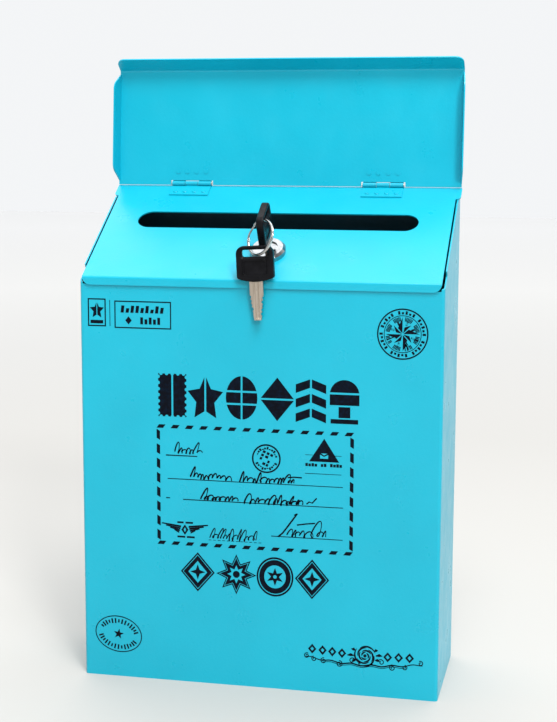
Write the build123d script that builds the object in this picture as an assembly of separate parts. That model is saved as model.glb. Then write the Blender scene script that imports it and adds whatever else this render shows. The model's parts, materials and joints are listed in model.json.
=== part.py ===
from build123d import *
import os
from math import atan2, cos, degrees, radians, sin

# A wall letter box folded from painted sheet steel.
# A slanted slot door closes the top and carries a cam lock, and a folded lid covers the slot.
# Frame: origin at the centre of the base, +Z up, +Y out of the back panel, front at -Y. Millimetres.

# ---- driving dimensions ----
WIDTH = 215.0
DEPTH = 80.0
FRONT_HEIGHT = 244.0
RISE = 51.0
SHEET = 0.8
BEND = 1.6
GAP = 0.3

SLOT_LENGTH = 172.5
SLOT_WIDTH = 16.7
SLOT_DOWN = 37.7

DOOR_SIDE_GAP = 1.0
BAND_LENGTH = 12.5
EAR_START = 0.4
EAR_OVERHANG = 1.2
EAR_RELIEF_Y = 3.1
EAR_RELIEF_Z = 289.0
FLAP_DROP = 4.9
LEDGE_DEPTH = 12.0
LIP_DEPTH = 15.6

LID_WIDTH = 216.6
LID_LENGTH = 70.2
LID_FOOT = 0.95
LID_LEAN = 4.5
LID_FLANGE = 11.0
LID_SIDE_FLANGE = 10.3
LID_SPLAY = 8.0
LID_CLOSED_DROP = 57.5

HINGE_X = 60.5
HINGE_WIDTH = 25.0
HINGE_LEAF = 10.0
KNUCKLE_R = 1.5
PIN_R = 0.6
RUNNING = 0.05
RIVET_R = 0.9
RIVET_HEAD_R = 1.5
RIVET_HEAD = 0.5

PAN_FLANGE = 12.0
BACK_FLANGE = 12.0
BACK_TOP = 288.0
SCREW_SPACING = 140.0
SCREW_HEIGHT = 250.0
SCREW_HOLE_R = 2.5

LOCK_X = 1.5
LOCK_DOWN = 69.5
HEAD_R = 10.5
HEAD_HEIGHT = 4.0
BARREL_R = 8.0
BARREL_LENGTH = 16.6
PLUG_R = 6.0
PLUG_FACE = 3.2
CAM_LENGTH = 25.0
CAM_WIDTH = 14.0
CAM_THICK = 1.6
WAFERS = 5

BOW_WIDTH = 21.8
BOW_HEIGHT = 20.6
BOW_THICK = 4.4
BOW_SLOT = 15.0
BOW_SLOT_HEIGHT = 4.0
BOW_SLOT_UP = 16.4
BOW_SLOT_EDGE = 1.1
BLADE_WIDTH = 8.0
BLADE_TIP_WIDTH = 4.2
BLADE_LENGTH = 22.1
BLADE_THICK = 2.0
KEY_PROUD = 9.4
RING_R = 10.2
WIRE_R = 0.65
RING_TURN = 38.0
RING_LEAN = 21.05
KEY_2_SHIFT = -2.3
KEY_2_TILT = 3.0

# ---- derived places ----
HEIGHT = FRONT_HEIGHT + RISE
SLOPE = degrees(atan2(RISE, DEPTH))
C = cos(radians(SLOPE))
S = sin(radians(SLOPE))
DOOR = Plane(origin=(0, DEPTH / 2, HEIGHT), x_dir=(1, 0, 0), z_dir=(0, -S, C))


def on_door(down, out):
    """Y and Z of a point so far down the slope and so far out of the door's top face."""
    return (DEPTH / 2 - down * C - out * S, HEIGHT - down * S + out * C)


def down_at(y, out):
    """Distance down the slope where the plane at that height above the door meets y."""
    return (DEPTH / 2 - out * S - y) / C


LID_AXIS = on_door(0.6, KNUCKLE_R)
LID = Plane(
    origin=(0, LID_AXIS[0], LID_AXIS[1]),
    x_dir=(1, 0, 0),
    z_dir=(0, cos(radians(LID_LEAN)), -sin(radians(LID_LEAN))),
)
DOOR_AXIS_Y = DEPTH / 2 - SHEET - KNUCKLE_R
DOOR_AXIS_OUT = -SHEET - KNUCKLE_R
DOOR_AXIS_DOWN = down_at(DOOR_AXIS_Y, DOOR_AXIS_OUT)
DOOR_AXIS = on_door(DOOR_AXIS_DOWN, DOOR_AXIS_OUT)


# ---- helpers ----
def block(x, y, z):
    """Box between pairs of limits."""
    size = Box(x[1] - x[0], y[1] - y[0], z[1] - z[0])
    return Pos((x[0] + x[1]) / 2, (y[0] + y[1]) / 2, (z[0] + z[1]) / 2) * size


def folded(points, radius, x, thickness=SHEET):
    """Sheet folded along a line of Y and Z points, as wide as the pair of X limits."""
    line = FilletPolyline(*points, radius=radius)
    face = trace(line, thickness)
    return extrude(Plane.YZ.offset(x[0]) * face, x[1] - x[0])


def rod(radius, length, centre):
    """Rod along X."""
    return Pos(*centre) * Rot(0, 90, 0) * Cylinder(radius, length)


def on_lock(radius, low, high):
    """Cylinder about the lock's axis, in the door's own frame."""
    return Pos(LOCK_X, -LOCK_DOWN, (low + high) / 2) * Cylinder(radius, high - low)


def save(node, shape):
    """Write one node as one STEP file."""
    solids = shape.solids()
    whole = solids[0] if len(solids) == 1 else Compound(children=list(solids))
    export_step(whole, "parts/" + node + ".step")


# ---- body ----
def front_wrap():
    """Front and both sides in one sheet, with a ledge and lip under the door's front edge."""
    half = WIDTH / 2 - SHEET / 2
    front = -DEPTH / 2 + SHEET / 2
    back = DEPTH / 2
    line = FilletPolyline((-half, back), (-half, front), (half, front), (half, back), radius=BEND)
    wrap = extrude(trace(line, SHEET), HEIGHT)
    above = block((-WIDTH, WIDTH), (-2 * WIDTH, 2 * WIDTH), (-0.1, WIDTH))
    wrap -= DOOR.location * above
    under_ears = block((-WIDTH, WIDTH), (-BAND_LENGTH - 1, WIDTH), (-SHEET - GAP, WIDTH))
    wrap -= DOOR.location * under_ears
    wrap -= block((-WIDTH, WIDTH), (DEPTH / 2 - EAR_RELIEF_Y, DEPTH), (EAR_RELIEF_Z, 2 * HEIGHT))
    for side in (-1, 1):
        ends = sorted((side * (WIDTH / 2 - 2.2), side * WIDTH))
        relief = block(ends, (-100.0, -84.0), (-3.4, WIDTH))
        wrap -= DOOR.location * relief
    ledge_half = WIDTH / 2 - 6.5
    wrap -= block((-WIDTH / 2 + 2, WIDTH / 2 - 2), (-DEPTH, -DEPTH / 2 + 2), (FRONT_HEIGHT - 8, HEIGHT))
    level = -SHEET - GAP - SHEET / 2
    corner = down_at(front, level)
    start = corner - LEDGE_DEPTH
    points = [(front, FRONT_HEIGHT - 10), on_door(corner, level), on_door(start, level), on_door(start, -LIP_DEPTH)]
    ledge = folded(points, BEND, (-ledge_half, ledge_half))
    wide = block((-WIDTH / 2 + 1.9, WIDTH / 2 - 1.9), (-DEPTH / 2, -DEPTH / 2 + SHEET), (FRONT_HEIGHT - 8, FRONT_HEIGHT - 5))
    return wrap + wide + ledge


def back_panel():
    """Back sheet with side flanges that lie inside the side walls, and two screw holes."""
    half = WIDTH / 2 - 1.5 * SHEET
    rear = DEPTH / 2 - SHEET / 2
    front = rear - BACK_FLANGE
    line = FilletPolyline((-half, front), (-half, rear), (half, rear), (half, front), radius=BEND)
    sheet = extrude(trace(line, SHEET), BACK_TOP)
    for side in (-1, 1):
        ends = sorted((side * (WIDTH / 2 - 6), side * WIDTH))
        sheet -= block(ends, (0, DEPTH / 2 - SHEET), (-1, PAN_FLANGE + 2))
        sheet -= Pos(side * SCREW_SPACING / 2, DEPTH / 2, SCREW_HEIGHT) * Rot(90, 0, 0) * Cylinder(SCREW_HOLE_R, 10)
    above = block((-WIDTH, WIDTH), (-2 * WIDTH, 2 * WIDTH), (-3.0, WIDTH))
    flanges = block((-WIDTH, WIDTH), (0, DEPTH / 2 - 2.5), (0, 2 * HEIGHT)) & (DOOR.location * above)
    sheet -= flanges
    for side in (-1, 1):
        for place in rivet_places(side):
            sheet -= Pos(place, DEPTH / 2, DOOR_AXIS[1] - 6.2) * Rot(90, 0, 0) * Cylinder(RIVET_R, 10)
    return sheet


def bottom_panel():
    """Floor pan with four upturned flanges."""
    half = WIDTH / 2 - SHEET
    deep = DEPTH / 2 - SHEET
    pan = block((-half, half), (-deep, deep), (0, PAN_FLANGE))
    pan -= block((-half + SHEET, half - SHEET), (-deep + SHEET, deep - SHEET), (SHEET, PAN_FLANGE + 1))
    for x in (-1, 1):
        for y in (-1, 1):
            xs = sorted((x * (half - 2.5), x * (half + 1)))
            ys = sorted((y * (deep - 2.5), y * (deep + 1)))
            pan -= block(xs, ys, (SHEET, PAN_FLANGE + 1))
    corners = [e for e in pan.edges().filter_by(Axis.Z) if abs(abs(e.center().X) - half) < 0.01]
    corners = [e for e in corners if abs(abs(e.center().Y) - deep) < 0.01]
    return fillet(corners, BEND - SHEET / 2)


# ---- slot door ----
def slot_door():
    """Slanted sheet with a rear band, ears, mail slot, lock hole and a flap over the front."""
    half = WIDTH / 2 - SHEET - DOOR_SIDE_GAP
    outer = -DEPTH / 2 - GAP - SHEET / 2
    crease = down_at(outer, -SHEET / 2)
    bottom = on_door(crease, 0)[1] - FLAP_DROP
    points = [on_door(0.4, -SHEET / 2), on_door(crease, -SHEET / 2), (outer, bottom)]
    door = folded(points, 1.4, (-half, half))
    for side in (-1, 1):
        square = Pos(side * (half - 1.0), outer, bottom) * Box(8.0, 4, 8.0)
        keep = Pos(side * (half - 5.0), outer, bottom + 5.0) * Rot(90, 0, 0) * Cylinder(5.0, 4)
        door -= square - keep
    ear_half = WIDTH / 2 + EAR_OVERHANG
    ears = Pos(0, -(EAR_START + BAND_LENGTH) / 2) * Rectangle(2 * ear_half, BAND_LENGTH - EAR_START)
    ears = fillet(ears.vertices().group_by(Axis.Y)[-1], 0.8)
    ears = fillet(ears.vertices().group_by(Axis.Y)[0], 3.0)
    band = Pos(0, 0, -SHEET) * extrude(ears, SHEET)
    door += DOOR.location * band
    slot = Pos(0, -SLOT_DOWN) * SlotOverall(SLOT_LENGTH, SLOT_WIDTH)
    door -= DOOR.location * (Pos(0, 0, -5) * extrude(slot, 10))
    door -= DOOR.location * on_lock(BARREL_R + 0.15, -5, 5)
    for side in (-1, 1):
        for place in rivet_places(side):
            door -= DOOR.location * (Pos(place, -RIVET_DOWN, 0) * Cylinder(RIVET_R, 8))
    return door


# ---- outer lid ----
def lid_flange():
    """One side flange, with tapered and rounded ends, in its own flat frame."""
    low = 1.0
    high = LID_LENGTH - 1.5
    deep = LID_SIDE_FLANGE
    outline = Polyline((low, 0), (low + 7.5, deep), (high - 7.5, deep), (high, 0), close=True)
    face = make_face(outline)
    tips = face.vertices().sort_by(Axis.Y)[-2:]
    face = fillet(tips, 6.0)
    return extrude(face, SHEET)


def outer_lid():
    """Folded cover: panel, two splayed side flanges and a front flange."""
    half = LID_WIDTH / 2
    drop = radians(LID_CLOSED_DROP)
    end_u = LID_LENGTH + LID_FLANGE * cos(drop)
    end_w = 0.3 - LID_FLANGE * sin(drop)
    line = FilletPolyline((LID_FOOT, 0.3), (-LID_LENGTH, 0.3), (-end_u, end_w), radius=2.0)
    section = trace(line, SHEET)
    panel = extrude(Plane.YZ.offset(-half) * section, 2 * half)
    for side in (-1, 1):
        room = HINGE_WIDTH / 2 + 1.1
        panel -= block((side * HINGE_X - room, side * HINGE_X + room), (-1.9, 5), (-5, 5))
    for side in (-1, 1):
        corner = Pos(side * (half - 2.5), -end_u, end_w) * Rot(LID_CLOSED_DROP, 0, 0)
        round_keep = Pos(side * (half - 5.0), -end_u, end_w) * Rot(LID_CLOSED_DROP, 0, 0)
        panel -= corner * Box(5.2, 10.0, 4.0) - round_keep * Pos(0, 5.0, 0) * Cylinder(5.0, 4.0)
    for side in (-1, 1):
        flat = Rot(0, 0, -90) * lid_flange()
        upright = Rot(0, 90, 0) * flat
        tilt = Pos(side * (half - 0.4), 0, 0.7) * Rot(0, -side * LID_SPLAY, 0)
        shift = Pos(-SHEET / 2, 0, 0)
        panel += tilt * shift * upright
    for side in (-1, 1):
        for place in rivet_places(side):
            panel -= Pos(place, -LID_RIVET_UP, 0) * Cylinder(RIVET_R, 8)
    return LID.location * panel


# ---- hinges ----
RIVET_DOWN = 8.2
LID_RIVET_UP = 7.6


def rivet_places(side):
    """X of the four rivets of one hinge."""
    return [side * HINGE_X + (k - 1.5) * 6.0 for k in range(4)]


def knuckles(middle):
    """X limits of the knuckles of one leaf: the middle third, or the two outer thirds."""
    third = HINGE_WIDTH / 3
    if middle:
        return [(-third / 2 + 0.15, third / 2 - 0.15)]
    return [(-HINGE_WIDTH / 2, -third / 2 - 0.15), (third / 2 + 0.15, HINGE_WIDTH / 2)]


def hinge_leaf(side, middle, up):
    """Leaf along +Y from an axis on X, tangent to the knuckle's top or bottom face."""
    level = (KNUCKLE_R - SHEET, KNUCKLE_R) if up else (-KNUCKLE_R, SHEET - KNUCKLE_R)
    centre = side * HINGE_X
    plate = block((centre - HINGE_WIDTH / 2, centre + HINGE_WIDTH / 2), (KNUCKLE_R + GAP, HINGE_LEAF + 1.2), level)
    for low, high in knuckles(middle):
        middle_x = centre + (low + high) / 2
        plate += block((centre + low, centre + high), (0, KNUCKLE_R + GAP + 0.1), level)
        plate += rod(KNUCKLE_R, high - low, (middle_x, 0, 0))
    plate -= rod(PIN_R + RUNNING, HINGE_WIDTH + 4, (centre, 0, 0))
    return plate


def hinge_pin(side):
    """Pin with two upset heads."""
    centre = side * HINGE_X
    pin = rod(PIN_R, HINGE_WIDTH + 1.2, (centre, 0, 0))
    for end in (-1, 1):
        pin += rod(KNUCKLE_R * 0.75, 0.5, (centre + end * (HINGE_WIDTH / 2 + 0.35), 0, 0))
    return pin


def at_lid_axis(shape):
    """Move a shape from its own axis frame, with +Y down the door, onto the lid's hinge axis."""
    return Pos(0, LID_AXIS[0], LID_AXIS[1]) * Rot(SLOPE + 180, 0, 0) * shape


def lid_hinge_door_leaf(side):
    """Leaf on top of the door's band."""
    leaf = hinge_leaf(side, True, True)
    for place in rivet_places(side):
        leaf -= Pos(place, RIVET_DOWN - 0.6, 0) * Cylinder(RIVET_R, 8)
    return at_lid_axis(leaf)


def lid_hinge_lid_leaf(side):
    """Leaf on the lid's outer face."""
    leaf = hinge_leaf(side, False, True)
    for place in rivet_places(side):
        leaf -= Pos(place, LID_RIVET_UP, 0) * Cylinder(RIVET_R, 8)
    return LID.location * Rot(0, 0, 180) * leaf


def door_hinge_door_leaf(side):
    """Leaf under the door's band."""
    leaf = hinge_leaf(side, True, False)
    for place in rivet_places(side):
        leaf -= Pos(place, RIVET_DOWN - DOOR_AXIS_DOWN, 0) * Cylinder(RIVET_R, 8)
    return Pos(0, DOOR_AXIS[0], DOOR_AXIS[1]) * Rot(SLOPE + 180, 0, 0) * leaf


def door_hinge_body_leaf(side):
    """Leaf on the inside of the back panel."""
    leaf = hinge_leaf(side, False, True)
    for place in rivet_places(side):
        leaf -= Pos(place, 6.2, 0) * Cylinder(RIVET_R, 8)
    return Pos(0, DOOR_AXIS[0], DOOR_AXIS[1]) * Rot(-90, 0, 0) * leaf


def rivet(low, high, low_head, high_head):
    """Rivet along Z through a stack of sheets, with heads of the given heights."""
    body = Pos(0, 0, (low + high) / 2) * Cylinder(RIVET_R, high - low)
    if high_head:
        dome = Pos(0, 0, high + high_head / 2) * Cylinder(RIVET_HEAD_R, high_head)
        body += chamfer(dome.edges().sort_by(Axis.Z)[-1], high_head * 0.6)
    if low_head:
        body += Pos(0, 0, low - low_head / 2) * Cylinder(RIVET_HEAD_R, low_head)
    return body


def band_rivets():
    """Rivets through the band and both leaves on it."""
    one = rivet(-2 * SHEET, SHEET, 0.3, RIVET_HEAD)
    places = rivet_places(-1) + rivet_places(1)
    return Compound(children=[DOOR.location * Pos(x, -RIVET_DOWN, 0) * one for x in places])


def lid_rivets():
    """Rivets through the lid and its leaves."""
    one = rivet(-0.1, KNUCKLE_R, 0.3, RIVET_HEAD)
    places = rivet_places(-1) + rivet_places(1)
    return Compound(children=[LID.location * Pos(x, -LID_RIVET_UP, 0) * one for x in places])


def back_rivets():
    """Rivets through the back panel and its leaves, flush outside."""
    one = rivet(-SHEET, SHEET, RIVET_HEAD, 0)
    places = rivet_places(-1) + rivet_places(1)
    high = DOOR_AXIS[1] - 6.2
    seat = DEPTH / 2 - SHEET
    return Compound(children=[Pos(x, seat, high) * Rot(-90, 0, 0) * one for x in places])


# ---- cam lock, in the door's own frame ----
def lock_housing():
    """Bevelled head and barrel with the plug's bore."""
    head = chamfer(on_lock(HEAD_R, 0, HEAD_HEIGHT).edges().sort_by(Axis.Z)[-1], 1.4)
    body = head + on_lock(BARREL_R, -BARREL_LENGTH, 0)
    body -= on_lock(PLUG_R + RUNNING, -BARREL_LENGTH - 1, HEAD_HEIGHT + 1)
    return DOOR.location * body


def lock_washer():
    """Ring under the door sheet."""
    return DOOR.location * (on_lock(11.0, -SHEET - 0.6, -SHEET) - on_lock(BARREL_R + 0.1, -9, 9))


def lock_nut():
    """Thin hexagon nut on the barrel."""
    top = -SHEET - 0.6
    blank = Pos(LOCK_X, -LOCK_DOWN, top - 3.0) * extrude(RegularPolygon(10.0, 6, major_radius=False), 3.0)
    return DOOR.location * (blank - on_lock(BARREL_R + 0.02, -20, 5))


def wafer_levels():
    """Middle heights of the wafers along the plug."""
    return [-1.6 - 2.4 * k for k in range(WAFERS)]


def lock_plug():
    """Turning plug with keyway, wafer slots, spring pockets and a square end."""
    end = -BARREL_LENGTH - 0.1
    plug = on_lock(PLUG_R, end, PLUG_FACE)
    plug += Pos(LOCK_X, -LOCK_DOWN, end - CAM_THICK / 2 - 0.1) * Box(7.0, 7.0, CAM_THICK + 0.2)
    plug -= block(
        (LOCK_X - BLADE_THICK / 2 - 0.1, LOCK_X + BLADE_THICK / 2 + 0.1),
        (-LOCK_DOWN - BLADE_WIDTH / 2 - 0.15, -LOCK_DOWN + BLADE_WIDTH / 2 + 0.15),
        (KEY_PROUD - BLADE_LENGTH - 0.4, PLUG_FACE + 1),
    )
    for level in wafer_levels():
        plug -= Pos(LOCK_X, -LOCK_DOWN, level) * Box(6.2, 10.4, 1.1)
        plug -= Pos(LOCK_X + 4.0, -LOCK_DOWN, level) * Box(1.9, 4.0, 1.1)
    plug -= on_lock(2.0, -30, end + 0.9)
    return DOOR.location * plug


def wafer_tumblers():
    """Flat wafers, each with a window round the key."""
    wafers = []
    for level in wafer_levels():
        plate = Pos(LOCK_X, -LOCK_DOWN, level) * Box(6.0, 10.2, 0.9)
        plate -= Pos(LOCK_X, -LOCK_DOWN, level) * Box(BLADE_THICK + 0.4, BLADE_WIDTH + 0.4, 2)
        wafers.append(DOOR.location * plate)
    return Compound(children=wafers)


def wafer_springs():
    """Small springs beside the wafers, as plain tubes."""
    springs = []
    for level in wafer_levels():
        tube = Rot(90, 0, 0) * (Cylinder(0.45, 3.6) - Cylinder(0.25, 4))
        springs.append(DOOR.location * Pos(LOCK_X + 4.0, -LOCK_DOWN, level) * tube)
    return Compound(children=springs)


def lock_cam():
    """Flat cam on the plug's square, lying across the box when unlocked."""
    top = -BARREL_LENGTH - 0.2
    outline = Circle(CAM_WIDTH / 2) + Pos(CAM_LENGTH / 2 - 2.5) * Rectangle(CAM_LENGTH - 5.0, CAM_WIDTH)
    outline += Pos(CAM_LENGTH - 5.0) * Ellipse(5.0, CAM_WIDTH / 2)
    outline -= Rectangle(7.05, 7.05)
    return DOOR.location * (Pos(LOCK_X, -LOCK_DOWN, top - CAM_THICK) * extrude(outline, CAM_THICK))


CAM_UNDER = -BARREL_LENGTH - 0.3 - CAM_THICK


def cam_washer():
    """Spring washer between the cam and its screw."""
    return DOOR.location * (on_lock(5.6, CAM_UNDER - 0.6, CAM_UNDER) - on_lock(2.1, -30, 0))


def cam_screw():
    """Pan-head screw in the plug's end."""
    head = on_lock(3.8, CAM_UNDER - 2.8, CAM_UNDER - 0.6)
    head = chamfer(head.edges().sort_by(Axis.Z)[0], 0.8)
    screw = head + on_lock(1.95, CAM_UNDER - 0.7, -BARREL_LENGTH + 0.6)
    screw -= Pos(LOCK_X, -LOCK_DOWN, CAM_UNDER - 2.8) * Box(4.6, 0.9, 1.4)
    screw -= Pos(LOCK_X, -LOCK_DOWN, CAM_UNDER - 2.8) * Box(0.9, 4.6, 1.4)
    return DOOR.location * screw


# ---- keys: X across the bow, Y up to its far end, Z through it, origin where the blade leaves ----
def key_blade():
    """Flat blade with a centre groove on each face."""
    half = BLADE_WIDTH / 2
    tip = BLADE_TIP_WIDTH / 2
    outline = Polyline(
        (-half, 9.0),
        (-half, -7.0),
        (-tip, -BLADE_LENGTH),
        (tip, -BLADE_LENGTH),
        (half, -7.0),
        (half, 9.0),
        close=True,
    )
    blade = extrude(make_face(outline), BLADE_THICK / 2, both=True)
    for face in (-1, 1):
        blade -= Pos(0, -BLADE_LENGTH / 2, face * BLADE_THICK / 2) * Box(1.5, BLADE_LENGTH, 0.7)
    return blade


def key_bow():
    """Moulded bow with a hanging slot and a sunk panel on each face."""
    half = BOW_WIDTH / 2
    foot = ThreePointArc((-half, 2.2), (0, 0), (half, 2.2))
    sides = Polyline((half, 2.2), (half, BOW_HEIGHT), (-half, BOW_HEIGHT), (-half, 2.2))
    outline = make_face(foot + sides)
    outline = fillet(outline.vertices().group_by(Axis.Y)[-1], 4.5)
    outline = fillet(outline.vertices().group_by(Axis.Y)[0], 1.4)
    bow = extrude(outline, BOW_THICK / 2, both=True)
    bow = fillet(bow.edges().group_by(Axis.Z)[0] + bow.edges().group_by(Axis.Z)[-1], 0.9)
    slot = Pos(0, BOW_SLOT_UP) * RectangleRounded(BOW_SLOT, BOW_SLOT_HEIGHT, 1.2)
    bow -= extrude(slot, BOW_THICK, both=True)
    levels = bow.faces().sort_by(Axis.Z)
    rims = levels[-1].inner_wires()[0].edges() + levels[0].inner_wires()[0].edges()
    bow = chamfer(rims, BOW_SLOT_EDGE)
    for face in (-1, 1):
        bow -= Pos(0, 8.2, face * BOW_THICK / 2) * Box(15.0, 8.4, 0.9)
    return bow - key_blade()


KEY_1_Y, KEY_1_Z = on_door(LOCK_DOWN, KEY_PROUD)
KEY_1 = Plane(origin=(LOCK_X, KEY_1_Y, KEY_1_Z), x_dir=(0, -C, -S), z_dir=(-1, 0, 0))
RING_TOP_Y, RING_TOP_Z = on_door(LOCK_DOWN + 4.2, KEY_PROUD + BOW_SLOT_UP + 0.15)
HANG = Vector(0, -sin(radians(RING_LEAN)), -cos(radians(RING_LEAN)))
ACROSS = Vector(cos(radians(RING_TURN)), -sin(radians(RING_TURN)), 0)
RING_CENTRE = Vector(LOCK_X, RING_TOP_Y, RING_TOP_Z) + HANG * RING_R
RING_FOOT = Vector(LOCK_X, RING_TOP_Y, RING_TOP_Z) + HANG * (2 * RING_R)
KEY_2_HOOK = BOW_SLOT_UP - 0.95
KEY_2 = Plane(origin=RING_FOOT, x_dir=(1, 0, 0), z_dir=(0, -1, 0)).location
KEY_2 *= Rot(0, 0, KEY_2_TILT) * Pos(KEY_2_SHIFT, -KEY_2_HOOK, 0)


def key_ring():
    """Ring through both bows."""
    plane = Plane(origin=RING_CENTRE, x_dir=HANG, z_dir=ACROSS.cross(HANG))
    return plane.location * Torus(RING_R, WIRE_R)


def main():
    os.makedirs("parts", exist_ok=True)
    save("front_wrap", front_wrap())
    save("back_panel", back_panel())
    save("bottom_panel", bottom_panel())
    save("slot_door", slot_door())
    save("outer_lid", outer_lid())
    for name, side in (("left", -1), ("right", 1)):
        save("lid_hinge_" + name + "_door_leaf", lid_hinge_door_leaf(side))
        save("lid_hinge_" + name + "_lid_leaf", lid_hinge_lid_leaf(side))
        save("lid_hinge_" + name + "_pin", Pos(0, LID_AXIS[0], LID_AXIS[1]) * hinge_pin(side))
        save("door_hinge_" + name + "_door_leaf", door_hinge_door_leaf(side))
        save("door_hinge_" + name + "_body_leaf", door_hinge_body_leaf(side))
        save("door_hinge_" + name + "_pin", Pos(0, DOOR_AXIS[0], DOOR_AXIS[1]) * hinge_pin(side))
    save("band_rivets", band_rivets())
    save("lid_rivets", lid_rivets())
    save("back_rivets", back_rivets())
    save("lock_housing", lock_housing())
    save("lock_washer", lock_washer())
    save("lock_nut", lock_nut())
    save("lock_plug", lock_plug())
    save("wafer_tumblers", wafer_tumblers())
    save("wafer_springs", wafer_springs())
    save("lock_cam", lock_cam())
    save("cam_washer", cam_washer())
    save("cam_screw", cam_screw())
    save("key_1_blade", KEY_1.location * key_blade())
    save("key_1_bow", KEY_1.location * key_bow())
    save("key_ring", key_ring())
    save("key_2_blade", KEY_2 * key_blade())
    save("key_2_bow", KEY_2 * key_bow())
    print("lid axis", LID_AXIS, "door axis", DOOR_AXIS, "ring top", (LOCK_X, RING_TOP_Y, RING_TOP_Z))
    print("ring foot", RING_FOOT, "lock axis point", on_door(LOCK_DOWN, 0), "slope", SLOPE)


main()
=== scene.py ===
import json
import math
import random
import bpy
import bmesh
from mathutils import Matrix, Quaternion, Vector


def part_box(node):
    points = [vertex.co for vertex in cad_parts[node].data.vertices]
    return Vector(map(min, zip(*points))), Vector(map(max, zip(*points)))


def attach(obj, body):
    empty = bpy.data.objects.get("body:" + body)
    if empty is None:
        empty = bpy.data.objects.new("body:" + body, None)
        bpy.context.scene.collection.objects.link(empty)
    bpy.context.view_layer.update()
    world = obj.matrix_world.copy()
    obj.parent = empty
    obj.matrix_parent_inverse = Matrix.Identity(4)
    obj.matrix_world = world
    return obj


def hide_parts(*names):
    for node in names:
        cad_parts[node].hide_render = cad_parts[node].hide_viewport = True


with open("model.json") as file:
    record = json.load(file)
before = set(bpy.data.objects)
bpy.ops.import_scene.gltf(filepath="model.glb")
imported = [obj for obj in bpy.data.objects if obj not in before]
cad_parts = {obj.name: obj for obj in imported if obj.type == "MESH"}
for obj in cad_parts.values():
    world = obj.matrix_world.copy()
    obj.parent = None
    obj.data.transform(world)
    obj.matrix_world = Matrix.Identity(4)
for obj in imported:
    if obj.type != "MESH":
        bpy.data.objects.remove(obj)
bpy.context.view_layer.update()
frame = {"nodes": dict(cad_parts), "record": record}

# A painted sheet-steel letter box. The CAD nodes carry the shape. This file adds their materials, the
# printed decoration, the cut key blades, the rims on the key bows, the split ring, the floor, the lights
# and the camera. Blender works in metres. The prints and the keys are written in mm.
MM = 0.001
JOINTS = {joint["name"]: joint for joint in frame["record"]["behaviour"]["joints"]}

# Prints: the plane of the front panel (m), the ink's thickness and its lift off the paint (mm).
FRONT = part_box("front_wrap")[0].y
INK_THICK = 0.05
INK_LIFT = 0.01

# Inside faces of the box sheets (m), where shade is painted: depth of the front sheet, foot of its lip, back
# panel and floor pan.
WALL_NEAR = 0.0012
LIP_LOW = 0.236
BACK_INSIDE = 0.038
PAN_TOP = 0.002

# Keys (mm, degrees): the slanted door's own directions, how far the first key stands out of the lock, the
# hanging key's lean, the foot of its bow from the point where it hangs, and the blades.
DOOR_OUT = Vector((0.0, -0.53754, 0.84324))
DOOR_DOWN = Vector((0.0, -0.84324, -0.53754))
KEY_PROUD = 9.4
HUNG_LEAN = 3.0
HUNG_SIDE = 2.3
HUNG_DROP = 15.45
BLADE_TOP = -9.0
BLADE_LENGTH = 31.05
BLADE_STEPS = 124

# Split ring (mm, degrees): wire section, half the step between its coils, and its turn about the vertical.
RING_HALF_WIDE = 0.64
RING_HALF_THICK = 0.31
RING_LEVEL = 0.33
RING_TURN = 38.0
RING_STEPS = 220
RING_SIDES = 12

# Camera.
CAMERA_AZIMUTH = 12.16
CAMERA_FALL = 8.18
CAMERA_ROLL = 0.21
CAMERA_PLACE = (0.18905, -0.85881, 0.3189)


# ---- materials ----
def new_material(name):
    """A node material with its Principled shader and a texture coordinate in the row frame."""
    material = bpy.data.materials.new(name)
    material.use_nodes = True
    tree = material.node_tree
    shader = tree.nodes["Principled BSDF"]
    coord = tree.nodes.new("ShaderNodeTexCoord")
    return material, tree, shader, coord


def noise(tree, coord, scale, detail=2.0, rough=0.5, stretch=None):
    """Noise over the object's own coordinates, optionally stretched."""
    node = tree.nodes.new("ShaderNodeTexNoise")
    node.inputs["Scale"].default_value = scale
    node.inputs["Detail"].default_value = detail
    node.inputs["Roughness"].default_value = rough
    source = coord.outputs["Object"]
    if stretch:
        mapping = tree.nodes.new("ShaderNodeMapping")
        mapping.inputs["Scale"].default_value = stretch
        tree.links.new(source, mapping.inputs["Vector"])
        source = mapping.outputs["Vector"]
    tree.links.new(source, node.inputs["Vector"])
    return node.outputs["Fac"]


def ramp(tree, value, stops):
    """Colour ramp from (position, colour) stops."""
    node = tree.nodes.new("ShaderNodeValToRGB")
    elements = node.color_ramp.elements
    while len(elements) < len(stops):
        elements.new(0.5)
    for element, (place, colour) in zip(elements, stops):
        element.position = place
        element.color = (*colour, 1.0)
    tree.links.new(value, node.inputs["Fac"])
    return node.outputs["Color"]


def span(tree, value, low, high, start=0.3, end=0.7):
    """Maps a noise value onto a range."""
    node = tree.nodes.new("ShaderNodeMapRange")
    node.inputs["From Min"].default_value = start
    node.inputs["From Max"].default_value = end
    node.inputs["To Min"].default_value = low
    node.inputs["To Max"].default_value = high
    tree.links.new(value, node.inputs["Value"])
    return node.outputs["Result"]


def bump(tree, shader, layers):
    """Chains bump layers given as (height, strength, distance)."""
    normal = None
    for height, strength, distance in layers:
        node = tree.nodes.new("ShaderNodeBump")
        node.inputs["Strength"].default_value = strength
        node.inputs["Distance"].default_value = distance
        tree.links.new(height, node.inputs["Height"])
        if normal:
            tree.links.new(normal, node.inputs["Normal"])
        normal = node.outputs["Normal"]
    tree.links.new(normal, shader.inputs["Normal"])


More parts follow.
